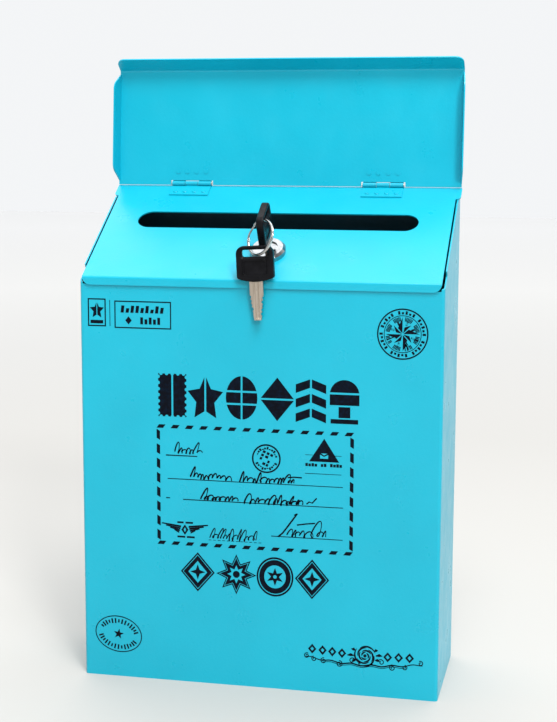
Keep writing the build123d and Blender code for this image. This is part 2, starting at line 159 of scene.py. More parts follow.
def paint(name, deep, light, gloss=(0.26, 0.38)):
    """Oven-baked powder paint: fine orange peel, faint clouding and a varied gloss."""
    material, tree, shader, coord = new_material(name)
    clouds = noise(tree, coord, 14.0, 3.0, 0.55)
    tree.links.new(ramp(tree, clouds, [(0.3, deep), (0.7, light)]), shader.inputs["Base Color"])
    smears = noise(tree, coord, 55.0, 4.0, 0.6)
    tree.links.new(span(tree, smears, *gloss), shader.inputs["Roughness"])
    shader.inputs["IOR"].default_value = 1.45
    peel = noise(tree, coord, 620.0, 2.0, 0.5)
    bump(tree, shader, [(peel, 0.5, 0.00012)])
    return material


def metal(name, dark, bright, gloss, stretch=None, scale=300.0, dent=0.15):
    """Bare or plated metal with streaked gloss and fine tool marks."""
    material, tree, shader, coord = new_material(name)
    tone = noise(tree, coord, scale * 0.4, 4.0, 0.6, stretch)
    tree.links.new(ramp(tree, tone, [(0.3, dark), (0.7, bright)]), shader.inputs["Base Color"])
    shader.inputs["Metallic"].default_value = 1.0
    marks = noise(tree, coord, scale, 5.0, 0.65, stretch)
    tree.links.new(span(tree, marks, *gloss), shader.inputs["Roughness"])
    bump(tree, shader, [(marks, dent, 0.00005)])
    return material


def moulded(name, dark, light):
    """Black moulded plastic with a fine eroded texture and handling shine."""
    material, tree, shader, coord = new_material(name)
    tone = noise(tree, coord, 160.0, 3.0)
    tree.links.new(ramp(tree, tone, [(0.35, dark), (0.75, light)]), shader.inputs["Base Color"])
    rub = noise(tree, coord, 240.0, 4.0, 0.6)
    tree.links.new(span(tree, rub, 0.24, 0.42), shader.inputs["Roughness"])
    shader.inputs["IOR"].default_value = 1.2
    erosion = noise(tree, coord, 3800.0, 2.0, 0.6)
    bump(tree, shader, [(erosion, 0.3, 0.00004)])
    return material


def ink(name, dark, light):
    """Screen-printed ink, a little mottled where it lies thin."""
    material, tree, shader, coord = new_material(name)
    mottle = noise(tree, coord, 420.0, 5.0, 0.7)
    tree.links.new(ramp(tree, mottle, [(0.45, dark), (0.85, light)]), shader.inputs["Base Color"])
    tree.links.new(span(tree, mottle, 0.38, 0.6), shader.inputs["Roughness"])
    shader.inputs["IOR"].default_value = 1.18
    bump(tree, shader, [(mottle, 0.15, 0.00003)])
    return material


BLUE = paint("blue_powder_paint", (0.001, 0.375, 0.515), (0.003, 0.415, 0.565))
# Painted shade: a dark copy of the blue paint for the inside of the box, standing in for the shade in the
# mail space.
INSIDE_PAINTED_SHADE = paint("inside_painted_shade", (0.002, 0.07, 0.10), (0.003, 0.09, 0.13), (0.5, 0.65))
CHROME = metal("bright_chrome", (0.27, 0.275, 0.285), (0.40, 0.41, 0.42), (0.05, 0.16), None, 900.0, 0.05)
ZINC = metal("zinc_plate", (0.42, 0.42, 0.38), (0.62, 0.61, 0.56), (0.28, 0.5), None, 700.0)
NICKEL = metal(
    "worn_nickel", (0.42, 0.35, 0.28), (0.66, 0.58, 0.49), (0.24, 0.44), (1.0, 1.0, 0.08), 1500.0, 0.25
)
SPRING = metal("ring_steel", (0.55, 0.54, 0.52), (0.74, 0.73, 0.71), (0.14, 0.3), None, 1200.0)
BRASS = metal("stamped_brass", (0.55, 0.38, 0.12), (0.72, 0.54, 0.22), (0.25, 0.45), None, 900.0)
BLACK = moulded("black_moulded", (0.003, 0.003, 0.004), (0.008, 0.008, 0.01))
INK = ink("printed_ink", (0.001, 0.002, 0.006), (0.002, 0.012, 0.032))


def inward(part, face):
    """Whether a face of the box looks into the mail space."""
    x, y, z = face.center
    normal = face.normal
    if part == "front_wrap":
        return normal.x * x < -0.05 or (normal.y > 0.9 and y < FRONT + WALL_NEAR and z < LIP_LOW)
    if part == "back_panel":
        return normal.y < -0.9 and y > BACK_INSIDE
    return normal.z > 0.9 and z < PAN_TOP


def paint_shade_inside():
    """Paints shade inside the box: the faces that look into the mail space get a dark copy of the blue paint,
    though the real box is the same blue inside.
    """
    for part in ("front_wrap", "back_panel", "bottom_panel"):
        mesh = frame["nodes"][part].data
        mesh.materials.append(INSIDE_PAINTED_SHADE)
        for face in mesh.polygons:
            face.material_index = 1 if inward(part, face) else 0


def paint_nodes():
    """Gives each CAD node the material of its real surface."""
    by_slot = {
        "blue_paint": BLUE,
        "zinc_steel": ZINC,
        "chrome": CHROME,
        "nickel": NICKEL,
        "brass": BRASS,
        "black_plastic": BLACK,
    }
    for part in frame["record"]["subparts"]:
        node = frame["nodes"][part["node"]]
        node.data.materials.clear()
        node.data.materials.append(by_slot[part["material_slot"]])


# ---- flat shapes for the printed decoration: lists of (x, z) in mm ----
def turns(count):
    """Evenly spaced angles round a full turn, in radians."""
    return [2 * math.pi * k / count for k in range(count)]


def oval(cx, cz, rx, rz, count=72):
    """An ellipse."""
    return [(cx + rx * math.cos(a), cz + rz * math.sin(a)) for a in turns(count)]


def circle(cx, cz, r, count=48):
    """A round disc."""
    return oval(cx, cz, r, r, count)


def ring(cx, cz, r, width):
    """A round line of a given width, measured inwards."""
    return [circle(cx, cz, r), circle(cx, cz, r - width)]


def rect(x0, z0, x1, z1):
    """An upright rectangle."""
    return [(x0, z0), (x1, z0), (x1, z1), (x0, z1)]


def frame_box(x0, z0, x1, z1, width):
    """A rectangular line of a given width, measured inwards."""
    return [rect(x0, z0, x1, z1), rect(x0 + width, z0 + width, x1 - width, z1 - width)]


def star(cx, cz, outer, inner, points=5, turn=90.0):
    """A star with its first point at an angle in degrees."""
    loop = []
    for k in range(2 * points):
        r = outer if k % 2 == 0 else inner
        a = math.radians(turn) + math.pi * k / points
        loop.append((cx + r * math.cos(a), cz + r * math.sin(a)))
    return loop


def squeezed(loop, cx, factor):
    """A loop made narrower about a vertical line."""
    return [(cx + (x - cx) * factor, z) for x, z in loop]


def diamond(cx, cz, half_x, half_z):
    """A lozenge."""
    return [(cx + half_x, cz), (cx, cz + half_z), (cx - half_x, cz), (cx, cz - half_z)]


def turned(loops, angle, centre):
    """Loops turned about a centre, in degrees."""
    c, s = math.cos(math.radians(angle)), math.sin(math.radians(angle))
    cx, cz = centre

    def spun(x, z):
        return (cx + (x - cx) * c - (z - cz) * s, cz + (x - cx) * s + (z - cz) * c)

    return [[spun(x, z) for x, z in loop] for loop in loops]


def clipped(loop, side, limit, axis=0):
    """The part of a loop on one side (-1 low, 1 high) of a line across an axis."""
    kept = []
    for a, b in zip(loop, loop[1:] + loop[:1]):
        in_a, in_b = side * (a[axis] - limit) >= 0, side * (b[axis] - limit) >= 0
        if in_a:
            kept.append(a)
        if in_a != in_b:
            t = (limit - a[axis]) / (b[axis] - a[axis])
            kept.append((a[0] + t * (b[0] - a[0]), a[1] + t * (b[1] - a[1])))
    return kept


def stencilled(loop, place, gap=1.1, axis=0):
    """A loop cut in two by a stencil bridge at a place on an axis (0 across, 1 up)."""
    halves = (clipped(loop, -1, place - gap / 2, axis), clipped(loop, 1, place + gap / 2, axis))
    return [half for half in halves if len(half) > 2]


# ---- turning flat shapes into ink ----
def to_front(x, z, out):
    """A point on the front panel, so far out of the paint, in metres."""
    return Vector((x * MM, FRONT - (INK_LIFT + out) * MM, z * MM))


def add_filled(bm, loops):
    """Adds loops as closed plates of ink; a loop inside another is a hole."""
    curve = bpy.data.curves.new("fill", "CURVE")
    curve.dimensions = "2D"
    curve.fill_mode = "BOTH"
    curve.extrude = INK_THICK / 2
    for loop in loops:
        spline = curve.splines.new("POLY")
        spline.points.add(len(loop) - 1)
        for point, (x, z) in zip(spline.points, loop):
            point.co = (x, z, 0, 1)
        spline.use_cyclic_u = True
    holder = bpy.data.objects.new("fill", curve)
    bpy.context.scene.collection.objects.link(holder)
    bpy.context.view_layer.update()
    graph = bpy.context.evaluated_depsgraph_get()
    mesh = bpy.data.meshes.new_from_object(holder.evaluated_get(graph))
    for vertex in mesh.vertices:
        x, z, out = vertex.co
        vertex.co = to_front(x, z, INK_THICK / 2 + out)
    bm.from_mesh(mesh)
    bpy.data.objects.remove(holder)
    bpy.data.curves.remove(curve)
    bpy.data.meshes.remove(mesh)


def skin(bm, sections, closed=False):
    """Walls between neighbouring rings of points; either the ends are capped or the last meets the first."""
    count = len(sections[0])
    after = sections[1:] + sections[:1] if closed else sections[1:]
    for low, high in zip(sections, after):
        for k in range(count):
            bm.faces.new((low[k], low[(k + 1) % count], high[(k + 1) % count], high[k]))
    if not closed:
        bm.faces.new(sections[0][::-1])
        bm.faces.new(sections[-1])


def add_stroke(bm, points, widths):
    """Adds a pen stroke as a thin closed bar through points, with a width at each."""
    sections = []
    for k, (x, z) in enumerate(points):
        ax, az = points[max(k - 1, 0)]
        bx, bz = points[min(k + 1, len(points) - 1)]
        length = math.hypot(bx - ax, bz - az) or 1.0
        nx, nz = -(bz - az) / length * widths[k] / 2, (bx - ax) / length * widths[k] / 2
        corners = [(x + nx, z + nz, 0), (x + nx, z + nz, INK_THICK)]
        corners += [(x - nx, z - nz, INK_THICK), (x - nx, z - nz, 0)]
        sections.append([bm.verts.new(to_front(*corner)) for corner in corners])
    skin(bm, sections)


def finish_mesh(name, bm, material, body, smooth=False):
    """Makes an object of a bmesh, gives it its material and rides it on its body."""
    bmesh.ops.recalc_face_normals(bm, faces=bm.faces)
    mesh = bpy.data.meshes.new(name)
    bm.to_mesh(mesh)
    bm.free()
    piece = bpy.data.objects.new(name, mesh)
    bpy.context.scene.collection.objects.link(piece)
    mesh.materials.append(material)
    if smooth:
        mesh.shade_smooth()
    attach(piece, body)
    return piece


def ink_piece(name, loops, strokes=()):
    """One printed group on the front panel. Strokes are (points, width or widths)."""
    bm = bmesh.new()
    if loops:
        add_filled(bm, loops)
    for points, width in strokes:
        widths = width if isinstance(width, list) else [width] * len(points)
        add_stroke(bm, points, widths)
    return finish_mesh(name, bm, INK, "box")


# ---- printed groups ----
def print_corner_labels():
    """Two framed labels at the top left: a star, and two rows of sorting bars."""
    loops = frame_box(-102.6, 213.9, -91.5, 230.4, 0.75)
    loops += stencilled(squeezed(star(-97.0, 223.4, 5.2, 2.5), -97.0, 0.88), -97.0, 0.5)
    loops.append(rect(-101.0, 215.6, -93.2, 217.6))
    loops.append(rect(-89.2, 214.2, -88.8, 229.6))
    loops += frame_box(-86.2, 213.2, -51.6, 229.4, 0.7)
    heights = [4.2, 2.6, 4.2, 4.2, 3.0, 4.2, 2.2, 4.2, 3.4]
    for k, height in enumerate(heights):
        x = -82.4 + 3.0 * k
        loops.append([(x, 222.4), (x + 1.9, 222.4), (x + 2.4, 222.4 + height), (x + 0.5, 222.4 + height)])
    loops.append(diamond(-77.6, 217.9, 2.0, 2.4))
    for k in range(5):
        loops.append(rect(-70.4 + 2.6 * k, 215.8, -68.7 + 2.6 * k, 219.9 - 1.1 * (k % 2)))
    ink_piece("print_corner_labels", loops)


def print_round_stamp():
    """Round stamp at the top right: rings, a ring of ticks and a compass rose on a hatched field."""
    cx, cz = 84.0, 214.6
    loops = ring(cx, cz, 14.6, 0.8) + ring(cx, cz, 10.7, 0.4)
    for k, a in enumerate(turns(36)):
        if k % 6 == 5:
            continue
        tick = rect(cx + 11.3, cz - 0.62, cx + 13.2 - 0.7 * (k % 2), cz + 0.62)
        loops += turned([tick], math.degrees(a), (cx, cz))
    for k in range(8):
        tip = 9.6 if k % 2 == 0 else 7.0
        left = [(cx + 0.5, cz + 0.15), (cx + 3.4, cz + 2.7 - 0.7 * (k % 2)), (cx + tip, cz + 0.15)]
        loops += turned([left], 45.0 * k + 90.0, (cx, cz))
    for k in range(72):
        if k % 9 in (0, 1, 8):
            continue
        inner = 5.2 if k % 9 in (4, 5) else 7.4
        ray = rect(cx + inner, cz - 0.26, cx + 9.8, cz + 0.26)
        loops += turned([ray], 5.0 * k, (cx, cz))
    for k in range(4):
        loops += turned([oval(cx + 6.4, cz, 1.0, 0.6, 20)], 67.5 + 90.0 * k, (cx, cz))
    ink_piece("print_round_stamp", loops)


def perforated(cx, cz, half_x, half_z, across, up):
    """Outline of a postage stamp with scalloped edges."""
    loop = []
    edges = [
        ((cx - half_x, cz - half_z), (1, 0), 2 * half_x, across),
        ((cx + half_x, cz - half_z), (0, 1), 2 * half_z, up),
        ((cx + half_x, cz + half_z), (-1, 0), 2 * half_x, across),
        ((cx - half_x, cz + half_z), (0, -1), 2 * half_z, up),
    ]
    for (x, z), (dx, dz), length, count in edges:
        pitch = length / count
        for k in range(count):
            middle = pitch * (k + 0.5)
            loop.append((x + dx * pitch * k, z + dz * pitch * k))
            for a in range(0, 181, 30):
                along = middle - 0.3 * pitch * math.cos(math.radians(a))
                inward = 0.3 * pitch * math.sin(math.radians(a))
                loop.append((x + dx * along - dz * inward, z + dz * along + dx * inward))
    return loop


def print_stencil_row():
    """Six heavy stencilled signs in a row: stamp, star, banded disc, lozenge, chevrons and post box."""
    low, high = 161.7, 187.2
    mid = (low + high) / 2
    half = (high - low) / 2
    x = -51.2
    loops = stencilled(perforated(x, mid, 8.6, half, 5, 7), x, 1.1)
    x = -31.2
    loops += stencilled(squeezed(star(x, mid - 1.3, 14.0, 7.2), x, 0.8), x, 1.1)
    x = -9.4
    disc = oval(x, mid, 9.4, half, 64)
    upper = clipped(disc, 1, mid + 4.3, 1)
    middle = clipped(clipped(disc, -1, mid + 3.1, 1), 1, mid - 3.1, 1)
    lower = clipped(disc, -1, mid - 4.3, 1)
    loops += stencilled(upper, x) + stencilled(middle, x) + stencilled(lower, x)
    x = 11.8
    loops += stencilled(diamond(x, mid, 10.2, half), mid, 1.1, 1)
    x = 31.6
    for k in range(3):
        base = low + 8.5 * k
        chevron = [(x - 8.9, base), (x, base + 3.4), (x + 8.9, base), (x + 8.9, base + 5.0)]
        chevron += [(x, base + 8.4), (x - 8.9, base + 5.0)]
        loops += stencilled(chevron, x, 1.1)
    x = 51.2
    top = high - 8.6
    arch = []
    for degrees in range(0, 181, 12):
        a = math.radians(degrees)
        arch.append((x + 8.6 * math.cos(a), top + 8.6 * math.sin(a)))
    arch += [(x - 8.6, mid - 2.0), (x + 8.6, mid - 2.0)]
    loops += stencilled(arch, mid + 4.8, 1.2, 1)
    loops += [rect(x - 3.4, low + 3.4, x + 3.4, mid - 3.0), rect(x - 8.0, low, x + 8.0, low + 2.6)]
    ink_piece("print_stencil_row", loops)


def print_airmail_border():
    """Slanted dashes round the address panel."""
    x0, x1, z0, z1 = -61.0, 56.9, 84.2, 156.8
    dash, thick, slant = 5.5, 2.1, 1.5
    loops = []
    for k in range(14):
        x = x0 + (x1 - x0 - dash) * k / 13
        for z in (z0, z1 - thick):
            loops.append([(x, z), (x + dash - slant, z), (x + dash, z + thick), (x + slant, z + thick)])
    for k in range(8):
        top = z1 - 2.8 - 8.66 * k
        for x in (x0, x1 - thick):
            loops.append([(x, top - 5.4), (x + thick, top - 6.6), (x + thick, top - 1.2), (x, top)])
    ink_piece("print_airmail_border", loops)


def ruled(x0, x1, z, width=0.5):
    """A printed rule as a stroke that thins to the right."""
    return ([(x0, z), ((x0 + x1) / 2, z), (x1, z)], [width, width * 0.9, width * 0.8])


def scrawl(rng, x0, x1, base, small, tall, tall_at=(0,), pen=0.8, pitch=2.4):
    """An unreadable joined scribble: small uneven loops with a few tall ones."""
    steps = 16
    count = max(2, round((x1 - x0) / pitch))
    pitches = [rng.uniform(0.6, 1.4) for k in range(count)]
    pitches = [(x1 - x0) * p / sum(pitches) for p in pitches]
    points, widths = [], []
    start = x0
    for k, pitch in enumerate(pitches):
        rise = tall * rng.uniform(0.9, 1.0) if k in tall_at else small * rng.uniform(0.45, 1.1)
        drop = small * rng.choice((0.0, 0.0, 0.05, 0.5))
        swing = pitch * rng.uniform(0.05, 0.5)
        lean = rng.uniform(0.2, 0.45)
        for step in range(steps):
            a = 2 * math.pi * step / steps
            up = (0.5 - 0.5 * math.cos(a)) ** 1.4
            x = start + pitch * step / steps - swing * math.sin(a) + up * rise * lean
            points.append((x, base - drop * (1 - up) + rise * up))
            widths.append(pen * (0.5 + 0.5 * abs(math.sin(a / 2 + 0.9))))
        start += pitch
    return points, widths


def print_address():
    """Rules and unreadable pen scribbles on the address panel."""
    rng = random.Random(21)
    strokes = [
        ruled(-55.4, -36.2, 138.5, 0.7),
        ruled(-54.4, 50.7, 124.4),
        ruled(-45.0, 50.9, 112.2, 0.55),
        ruled(8.4, 50.9, 93.1, 0.5),
        ruled(-55.4, -53.0, 112.7, 0.7),
        ruled(28.4, 49.8, 131.7, 0.35),
        ruled(28.5, 33.0, 142.7, 0.3),
        ruled(45.6, 49.8, 142.7, 0.3),
    ]
    for k in range(12):
        strokes.append(ruled(-29.4 + 2.75 * k, -27.7 + 2.75 * k, 88.5, 0.35))
    strokes.append(scrawl(rng, -49.6, -33.4, 140.9, 2.2, 6.0, (0, 5), 0.85))
    strokes.append(scrawl(rng, -40.6, -15.6, 126.1, 2.5, 6.4, (0,), 1.0))
    strokes.append(scrawl(rng, -10.8, 21.6, 125.6, 2.5, 5.4, (0, 4, 11), 1.0))
    strokes.append(([(18.2, 128.6), (22.0, 129.0), (26.6, 128.9)], 0.8))
    strokes.append(scrawl(rng, -34.2, -12.0, 113.0, 2.5, 7.6, (0,), 1.0))
    strokes.append(scrawl(rng, -7.4, 26.6, 113.0, 2.5, 5.0, (0, 5, 7, 10), 1.0))
    strokes.append(([(29.4, 113.4), (31.0, 114.8), (32.8, 114.2), (35.4, 117.2)], 0.8))
    strokes.append(scrawl(rng, -28.6, -1.0, 89.9, 3.0, 6.2, (0, 2, 3, 6, 8, 9, 12), 0.75, 2.1))
    rising = [(12.6, 92.9), (15.4, 95.4), (18.6, 99.8), (21.6, 104.0), (24.0, 107.4), (22.2, 106.2)]
    strokes.append((rising, 1.0))
    strokes.append(scrawl(rng, 18.0, 41.0, 94.6, 3.2, 9.4, (5,), 0.85, 2.9))
    strokes.append(([(23.8, 100.6), (29.6, 101.6), (34.6, 102.2)], 0.8))
    ink_piece("print_address", [], strokes)


def print_postmark():
    """Small round postmark: a ring, two arcs of ticks and rows of blocks, slightly turned."""
    cx, cz = 5.4, 139.2
    loops = ring(cx, cz, 8.6, 0.95)
    rng = random.Random(11)
    for k, a in enumerate(turns(26)):
        if k in (0, 12, 13, 14, 25):
            continue
        tick = rect(cx + 5.5, cz - 0.55, cx + 7.1 - 0.5 * (k % 3), cz + 0.55)
        loops += turned([tick], math.degrees(a), (cx, cz))
    for row in range(4):
        z = cz + 3.2 - 2.2 * row
        for k in range(3):
            x = cx - 3.6 + 2.4 * k + rng.uniform(-0.2, 0.2)
            if (row + k) % 4 != 3:
                loops += turned([rect(x, z - 0.75, x + rng.uniform(1.3, 2.0), z + 0.75)], -24.0, (cx, cz))
    ink_piece("print_postmark", loops)


def print_triangle():
    """Solid triangle with a cut-out envelope, and a row of blocks below."""
    cx, low, high = 39.6, 138.9, 152.6
    loops = [[(cx - 8.8, low), (cx + 8.8, low), (cx, high)]]
    envelope = [(cx - 2.4, low + 1.9), (cx + 2.4, low + 1.9), (cx + 2.4, low + 4.3)]
    envelope += [(cx, low + 3.0), (cx - 2.4, low + 4.3)]
    loops.append(envelope)
    loops.append([(cx - 2.0, low + 5.0), (cx, low + 3.8), (cx + 2.0, low + 5.0)])
    for k in range(12):
        x = 28.6 + 1.82 * k
        if k not in (4, 7):
            loops.append(rect(x, 136.0, x + 1.45, 137.9 - 0.3 * (k % 2)))
    ink_piece("print_triangle", loops)


def print_wings():
    """Small winged lozenge at the bottom left of the address panel."""
    cx, cz = -44.0, 94.6
    loops = [diamond(cx, cz - 0.8, 2.2, 3.2), diamond(cx, cz - 0.8, 0.8, 1.5)]
    for side in (-1, 1):
        for k in range(4):
            inner, outer = 2.3 + 0.4 * k, 14.4 - 2.6 * k
            top = cz + 2.4 - 1.2 * k
            feather = [(cx + side * inner, top - 1.9), (cx + side * outer, top - 0.1)]
            feather += [(cx + side * outer * 0.97, top + 0.6), (cx + side * inner, top - 0.75)]
            loops.append(feather)
    loops += [rect(cx - 4.6, cz + 3.0, cx - 0.8, cz + 4.1), rect(cx + 0.4, cz + 3.0, cx + 5.0, cz + 4.1)]
    loops += [rect(cx - 4.6, cz - 5.7, cx + 0.2, cz - 4.6), rect(cx + 1.2, cz - 5.7, cx + 6.0, cz - 4.6)]
    ink_piece("print_wings", loops)


def inline_diamond(x, z, half_x, half_z):
    """Heavy lozenge outline with a fine light line inside it."""
    return [diamond(x, z, half_x * k, half_z * k) for k in (1.0, 0.89, 0.84, 0.56)]


def print_inline_row():
    """Four large inline ornaments below the address panel."""
    low, high = 56.4, 80.6
    mid = (low + high) / 2
    loops = []
    for x, half in ((-36.2, 10.4), (33.0, 10.2)):
        loops += inline_diamond(x, mid, half, 12.0)
        loops.append(star(x, mid, 4.6, 1.7, 4))
    x = -12.6
    loops += [star(x, mid, r, r * 0.56, 8) for r in (12.2, 10.7, 9.9, 5.6)]
    loops.append(circle(x, mid, 2.1, 32))
    x = 10.8
    loops += [oval(x, mid, r * 0.93, r, 72) for r in (11.9, 10.8, 10.2, 7.0)]
    loops += [star(x, mid, 5.4, 2.4, 6), circle(x, mid, 1.1, 24)]
    ink_piece("print_inline_row", loops)


def print_oval_stamp():
    """Tilted oval stamp with a star at the bottom left."""
    cx, cz = -86.0, 26.5
    loops = [oval(cx, cz, 14.8, 11.3), oval(cx, cz, 14.2, 10.7)]
    loops.append(star(cx, cz, 3.3, 1.35))
    for k, a in enumerate(turns(34)):
        if k in (0, 1, 16, 17, 18, 33):
            continue
        x, z = cx + 11.4 * math.cos(a), cz + 8.1 * math.sin(a)
        lean = math.degrees(math.atan2(math.sin(a) / 8.4, math.cos(a) / 11.7))
        height = 1.5 if k % 3 else 1.0
        loops += turned([rect(x - height, z - 0.48, x + height, z + 0.48)], lean, (x, z))
    ink_piece("print_oval_stamp", turned(loops, -9.0, (cx, cz)))


def scroll(cx, cz, radius, start, sweep, count=22, shrink=0.25):
    """Points of a spiral scroll."""
    points = []
    for k in range(count):
        t = k / (count - 1)
        a = math.radians(start + sweep * t)
        r = radius * (1 - (1 - shrink) * t)
        points.append((cx + r * math.cos(a), cz + r * math.sin(a)))
    return points


def print_flourish():
    """Scrollwork vines with a rosette and two rows of lozenges at the bottom right."""
    strokes = []
    wave = []
    for t in range(41):
        sag = 2.7 * math.sin(math.pi * t / 40)
        wave.append((29.6 + 69.0 * t / 40, 21.4 - sag + 0.5 * math.sin(0.9 * t)))
    strokes.append((wave, [0.5 + 0.35 * math.sin(math.pi * k / 40) for k in range(41)]))
    strokes.append(([(x, z - 1.0) for x, z in wave[6:35]], 0.35))
    for x, z, r, start, sweep in (
        (30.2, 22.0, 1.7, 60, 480),
        (34.6, 20.4, 1.6, 100, 470),
        (40.2, 19.6, 1.8, 80, 500),
        (49.6, 18.4, 2.0, 90, -520),
        (57.2, 21.0, 1.8, 20, 420),
        (74.4, 21.2, 1.9, 160, -420),
        (81.0, 18.4, 1.9, 90, 500),
        (88.2, 19.0, 1.6, 90, -480),
        (97.4, 22.2, 1.6, 120, -430),
    ):
        strokes.append((scroll(x, z, r, start, sweep), 0.55))
    cx, cz = 64.8, 24.4
    for k, (r, start) in enumerate(((6.4, 20), (5.0, 80), (3.6, 20), (2.2, 80))):
        for part in range(3):
            arc = scroll(cx, cz, r, start + 120 * part, 104, 12, 0.84)
            strokes.append((arc, [0.3 + 0.75 * math.sin(math.pi * i / 11) for i in range(12)]))
    leaves = ((150, 9.4), (182, 10.6), (212, 9.0), (240, 7.6), (304, 8.0), (338, 9.6), (4, 10.4), (32, 9.0))
    for angle, reach in leaves:
        a = math.radians(angle)
        tip = (cx + reach * math.cos(a), cz + 0.8 * reach * math.sin(a))
        root = (cx + 6.4 * math.cos(a), cz + 5.8 * math.sin(a))
        middle = ((tip[0] + root[0]) / 2, (tip[1] + root[1]) / 2 + 0.4)
        strokes.append(([root, middle, tip], [0.5, 1.9, 0.2]))
    loops = [circle(cx, cz, 1.0, 20)]
    for k, x in enumerate((33.4, 39.6, 45.4, 51.2)):
        loops += [diamond(x, 26.4 - 0.45 * k, 2.5, 3.0), diamond(x, 26.4 - 0.45 * k, 1.1, 1.3)]
    for k, x in enumerate((78.2, 84.6, 91.0)):
        loops += [diamond(x, 24.6 + 0.2 * k, 2.6, 3.0), diamond(x, 24.6 + 0.2 * k, 1.2, 1.4)]
    ink_piece("print_flourish", loops, strokes)


# ---- keys: points are (x, y, z) in mm, with y up the key from the bow's foot and z out of its face ----
def blade_edge(down, cuts):
    """Half width of the blade at a distance below the bow, with its bitting cuts."""
    width = 4.0 if down < 7.0 else 4.0 - 1.9 * (down - 7.0) / 15.1
    for place, depth in cuts:
        width -= max(0.0, depth - 0.9 * max(0.0, abs(down - place) - 0.35))
    return width


def key_blade(name, node, body, to_world, seed):
    """Flat blade with bitting on both edges and two milled grooves on each face."""
    rng = random.Random(seed)
    left = [(8.6 + 2.3 * k, rng.uniform(0.2, 0.85)) for k in range(5)]
    right = [(9.4 + 2.3 * k, rng.uniform(0.2, 0.85)) for k in range(5)]
    bm = bmesh.new()
    sections = []
    for k in range(BLADE_STEPS + 1):
        down = BLADE_TOP + BLADE_LENGTH * k / BLADE_STEPS
        a, b = -blade_edge(down, left), blade_edge(down, right)
        deep = 0.35 if down < 21.0 else 0.0
        face = [(a, 0.75), (a + 0.25, 1.0), (-0.85, 1.0), (-0.7, 1.0 - deep), (0.55, 1.0 - deep), (0.7, 1.0)]
        face += [(1.25, 1.0), (1.35, 1.0 - deep * 0.8), (b - 0.65, 1.0 - deep * 0.8), (b - 0.55, 1.0)]
        face += [(b - 0.25, 1.0), (b, 0.75)]
        loop = face + [(x, -z) for x, z in reversed(face)]
        sections.append([bm.verts.new(to_world(x, -down, z)) for x, z in loop])
    skin(bm, sections)
    piece = finish_mesh(name, bm, NICKEL, body)
    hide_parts(node)


def rounded_box(cx, cy, half_x, half_y, r, count=6):
    """Rectangle with rounded corners."""
    loop = []
    for corner, (sx, sy) in enumerate(((1, 1), (-1, 1), (-1, -1), (1, -1))):
        x = cx + sx * (half_x - r)
        y = cy + sy * (half_y - r)
        for k in range(count + 1):
            a = math.radians(90.0 * (corner + k / count))
            loop.append((x + r * math.cos(a), y + r * math.sin(a)))
    return loop


def bow_rim(name, body, to_world):
    """Low moulded rim round the label panel on both faces of a key's bow."""
    steps = ((0.0, 2.1), (0.06, 2.27), (0.18, 2.34), (0.42, 2.34), (0.54, 2.27), (0.6, 2.1))
    bm = bmesh.new()
    for face in (-1, 1):
        loops = [rounded_box(0.0, 8.1, 6.9 - inset, 4.6 - inset, 1.7 - inset) for inset, level in steps]
        sections = []
        for points in zip(*loops):
            section = [(x, y, face * level) for (x, y), (inset, level) in zip(points, steps)]
            sections.append([bm.verts.new(to_world(*point)) for point in section])
        skin(bm, sections, True)
    finish_mesh(name, bm, BLACK, body)


def key_blades():
    """Both blades and bow rims, in the frames of their own keys."""
    seat = Vector(JOINTS["lock_turn"]["pos_m"]) + DOOR_OUT * KEY_PROUD * MM
    turn = math.radians(HUNG_LEAN)
    right = Vector((math.cos(turn), 0.0, math.sin(turn)))
    up = Vector((-math.sin(turn), 0.0, math.cos(turn)))
    hung = Vector(JOINTS["key_swing"]["pos_m"]) - right * HUNG_SIDE * MM - up * HUNG_DROP * MM
    side = Vector((1.0, 0.0, 0.0))
    front = Vector((0.0, -1.0, 0.0))

    def in_lock(x, y, z):
        return seat + (DOOR_DOWN * x + DOOR_OUT * y - side * z) * MM

    def hanging(x, y, z):
        return hung + (right * x + up * y + front * z) * MM

    key_blade("blade_in_lock", "key_1_blade", "lock_barrel", in_lock, 5)
    key_blade("blade_hanging", "key_2_blade", "spare_key", hanging, 9)
    bow_rim("bow_rim_in_lock", "lock_barrel", in_lock)
    bow_rim("bow_rim_hanging", "spare_key", hanging)


# ---- split ring ----
def key_ring():
    """Two flat coils of spring steel with a step between them."""
    top = Vector(JOINTS["ring_swing"]["pos_m"])
    foot = Vector(JOINTS["key_swing"]["pos_m"])
    down = (foot - top).normalized()
    radius = (foot - top).length / 2
    turned_by = math.radians(RING_TURN)
    across = Vector((math.cos(turned_by), -math.sin(turned_by), 0))
    axis = across.cross(down).normalized()
    side = axis.cross(down).normalized()
    centre = (top + foot) / 2
    bm = bmesh.new()
    sections = []
    for k in range(RING_STEPS + 1):
        turn = 0.06 + 1.88 * k / RING_STEPS
        a = 2 * math.pi * turn + 2.1
        ease = min(max((turn - 0.95) / 0.1, 0.0), 1.0)
        shift = RING_LEVEL * MM * (2 * ease * ease * (3 - 2 * ease) - 1)
        radial = down * math.cos(a) + side * math.sin(a)
        middle = centre + radial * radius + axis * shift
        section = []
        for b in turns(RING_SIDES):
            c, s = math.cos(b), math.sin(b)
            wide = RING_HALF_WIDE * MM * math.copysign(abs(c) ** 0.5, c)
            thick = RING_HALF_THICK * MM * math.copysign(abs(s) ** 0.5, s)
            section.append(bm.verts.new(middle + radial * wide + axis * thick))
        sections.append(section)
    skin(bm, sections)
    piece = finish_mesh("split_ring", bm, SPRING, "ring", True)
    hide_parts("key_ring")


